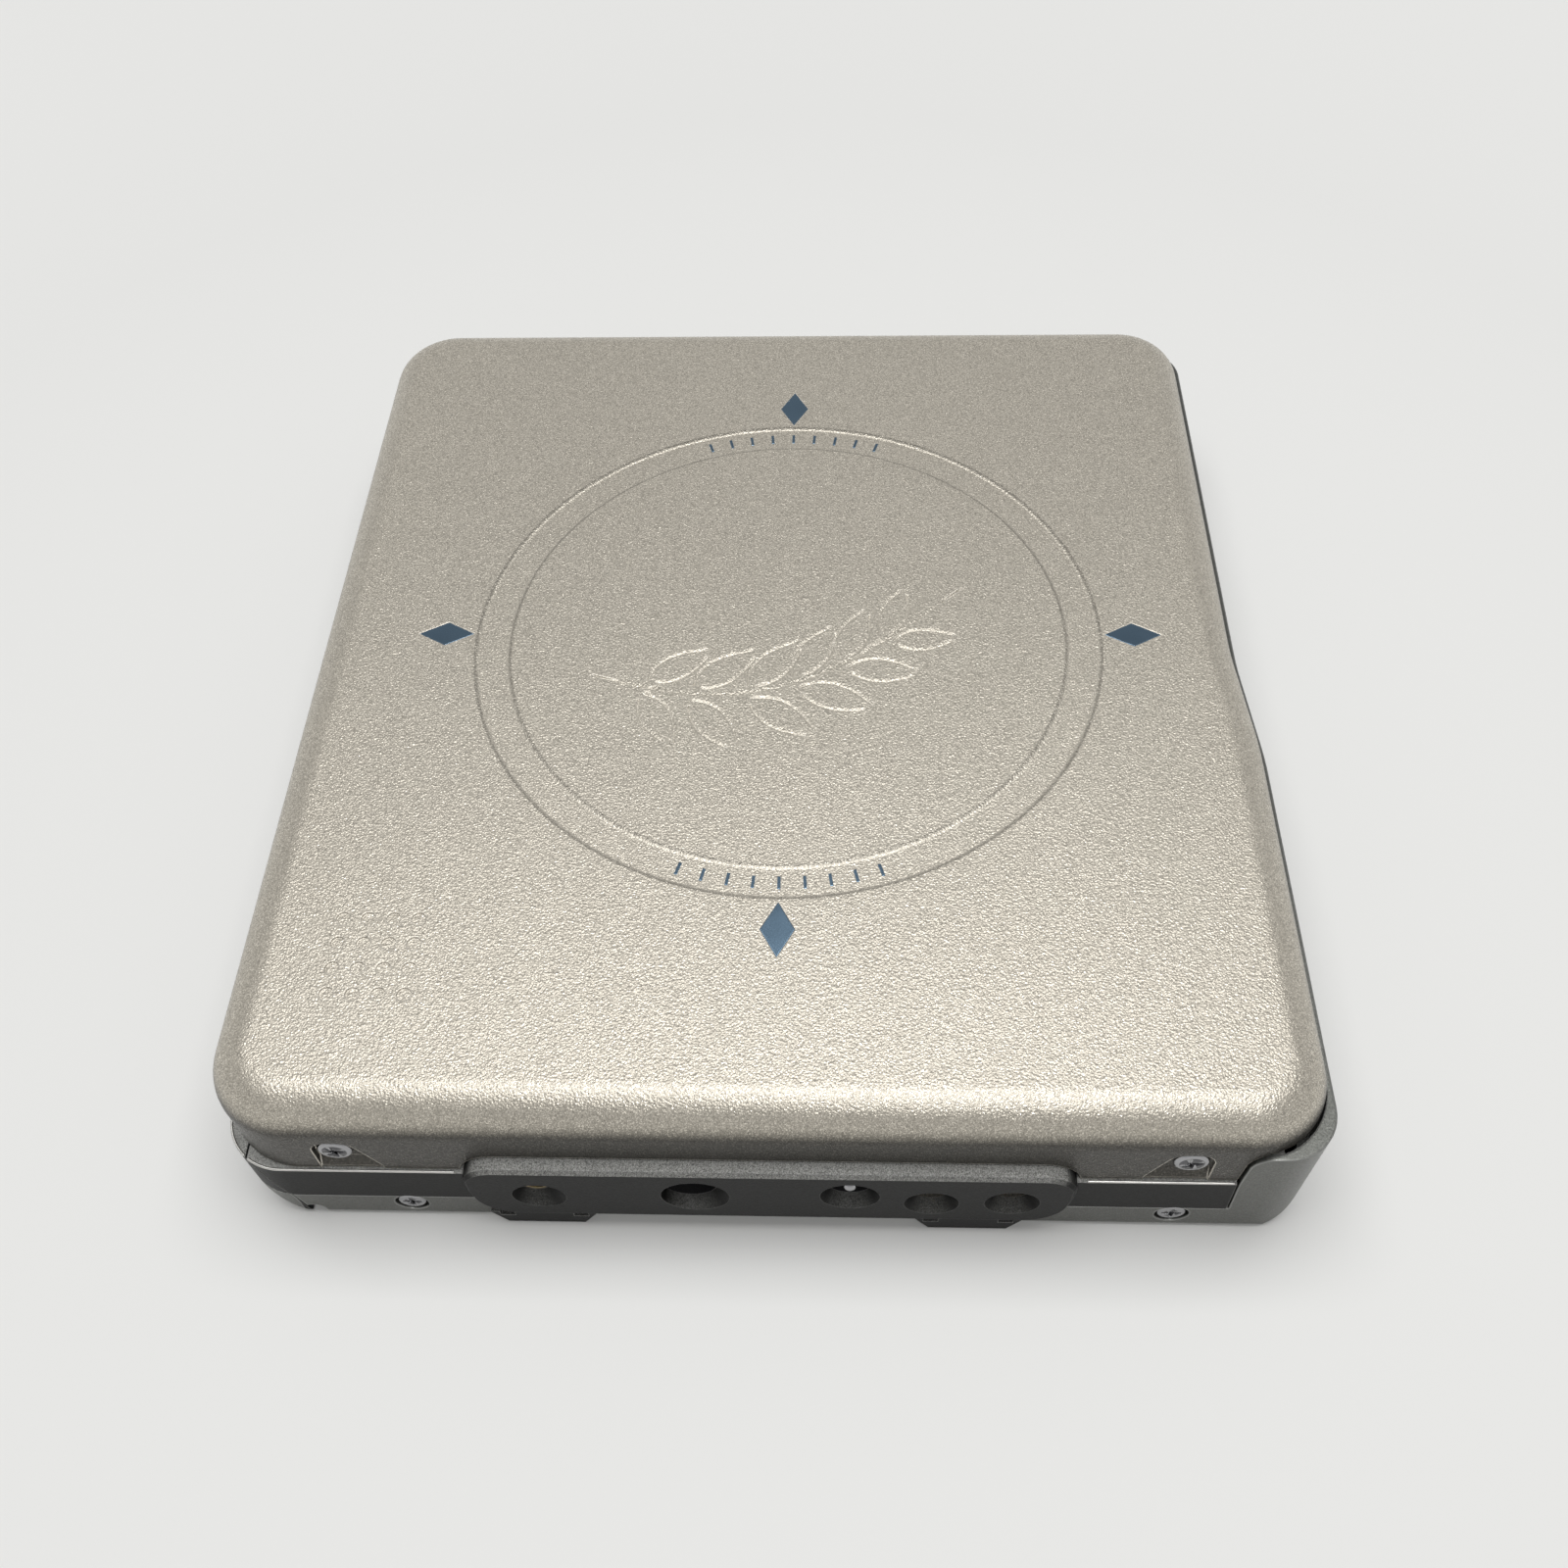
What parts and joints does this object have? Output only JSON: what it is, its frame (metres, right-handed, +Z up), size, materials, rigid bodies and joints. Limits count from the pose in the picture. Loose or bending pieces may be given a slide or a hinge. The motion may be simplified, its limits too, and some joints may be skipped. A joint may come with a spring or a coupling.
{
  "type": "portable minidisc player",
  "caption": "Flat pocket disc player with a hinged lid over a tilting cartridge holder, a terminal bar, side keys and a battery door along the opening side.",
  "frame": {"origin": "on the base, below the middle of the case", "axes": "+X from the opening side to the hinge side, +Y from the terminal bar's side to the far side, +Z up through the lid"},
  "size_m": [0.072, 0.08, 0.0147],
  "materials": {
    "silver_cover": "satin",
    "pearl_lid": "satin",
    "dark_frame": "satin",
    "bar_plastic": "satin",
    "steel_sheet": "brushed",
    "bright_steel": "polished",
    "spring_steel": "satin",
    "gold_contact": "polished",
    "brass_bush": "machined",
    "damper_rubber": "matte",
    "mirror_inlay": "polished",
    "lens_glass": "clear",
    "dark_moulding": "matte",
    "cell_wrap": "satin",
    "motor_can": "satin",
    "board_green": "satin",
    "chip_black": "matte",
    "key_metal": "satin"
  },
  "bodies": {
    "chassis": {"bottom_cover": "silver_cover", "mid_frame": "dark_frame", "mech_deck": "steel_sheet", "hinge_pins": "bright_steel", "deck_dampers": "damper_rubber", "deck_screws": "bright_steel", "body_screws": "bright_steel", "lift_springs": "spring_steel", "terminal_bar": "bar_plastic", "case_screw_bush": "brass_bush", "phone_jack": "dark_moulding", "supply_jack": "dark_moulding", "supply_pin": "bright_steel", "case_contacts": "gold_contact", "battery": "cell_wrap", "battery_contacts": "gold_contact", "door_pins": "bright_steel", "spindle_motor": "motor_can", "guide_rods": "bright_steel", "sled_motor": "motor_can", "main_board": "board_green", "board_chips": "chip_black", "key_board": "board_green"},
    "lid": {"lid_cover": "pearl_lid", "lid_inlays": "mirror_inlay", "lid_screws": "bright_steel", "lid_frame": "steel_sheet"},
    "holder": {"disc_holder": "steel_sheet"},
    "door": {"battery_door": "dark_frame", "door_skin": "silver_cover"},
    "turntable": {"turntable": "bright_steel"},
    "pickup": {"pickup_sled": "dark_moulding", "objective_lens": "lens_glass"},
    "screw": {"lead_screw": "bright_steel"},
    "pinion": {"drive_pinion": "brass_bush"},
    "rocker": {"track_rocker": "key_metal"},
    "play": {"play_key": "key_metal"},
    "volume": {"volume_rocker": "key_metal"},
    "open": {"open_slider": "key_metal"},
    "hold": {"hold_knob": "key_metal"}
  },
  "joints": [
    {"name": "lid_hinge", "type": "hinge", "parent": "chassis", "child": "lid", "pos_m": [0.0312, 0, 0.0113], "axis": [0, 1, 0], "range_deg": [0, 32]},
    {"name": "holder_tilt", "type": "hinge", "parent": "chassis", "child": "holder", "pos_m": [0.0312, 0, 0.0113], "axis": [0, 1, 0], "range_deg": [0, 24]},
    {"name": "door_hinge", "type": "hinge", "parent": "chassis", "child": "door", "pos_m": [-0.0312, 0, 0.00065], "axis": [0, -1, 0], "range_deg": [0, 75]},
    {"name": "turntable_spin", "type": "hinge", "parent": "chassis", "child": "turntable", "pos_m": [-0.00075, 0, 0.0077], "axis": [0, 0, 1], "continuous": true},
    {"name": "pickup_slide", "type": "slide", "parent": "chassis", "child": "pickup", "axis": [0, 1, 0], "range_m": [0, 0.0165]},
    {"name": "screw_spin", "type": "hinge", "parent": "chassis", "child": "screw", "pos_m": [0.01345, 0.02, 0.0043], "axis": [0, 1, 0], "range_deg": [0, 3970]},
    {"name": "pinion_spin", "type": "hinge", "parent": "chassis", "child": "pinion", "pos_m": [0.01685, 0.0065, 0.0043], "axis": [0, 1, 0], "range_deg": [-9530, 0]},
    {"name": "track_rock", "type": "hinge", "parent": "chassis", "child": "rocker", "pos_m": [0.03395, 0.0279, 0.0076], "axis": [0, 0, 1], "range_deg": [-3, 3], "stiffness_Nm_per_rad": 0.02},
    {"name": "play_press", "type": "slide", "parent": "chassis", "child": "play", "axis": [-1, 0, 0], "range_m": [0, 0.0004], "stiffness_N_per_m": 400, "springref_m": -0.0003},
    {"name": "volume_rock", "type": "hinge", "parent": "chassis", "child": "volume", "pos_m": [-0.003, 0.03725, 0.00525], "axis": [0, 0, 1], "range_deg": [-3, 3], "stiffness_Nm_per_rad": 0.02},
    {"name": "open_slide", "type": "slide", "parent": "chassis", "child": "open", "axis": [1, 0, 0], "range_m": [0, 0.0025], "stiffness_N_per_m": 120, "springref_m": -0.001},
    {"name": "hold_slide", "type": "slide", "parent": "chassis", "child": "hold", "axis": [1, 0, 0], "range_m": [0, 0.002]}
  ],
  "couplings": [
    {"joint": "holder_tilt", "follows": "lid_hinge", "ratio": 0.75},
    {"joint": "screw_spin", "follows": "pickup_slide", "rad_per_m": 4188.8},
    {"joint": "pinion_spin", "follows": "pickup_slide", "rad_per_m": -10053}
  ]
}
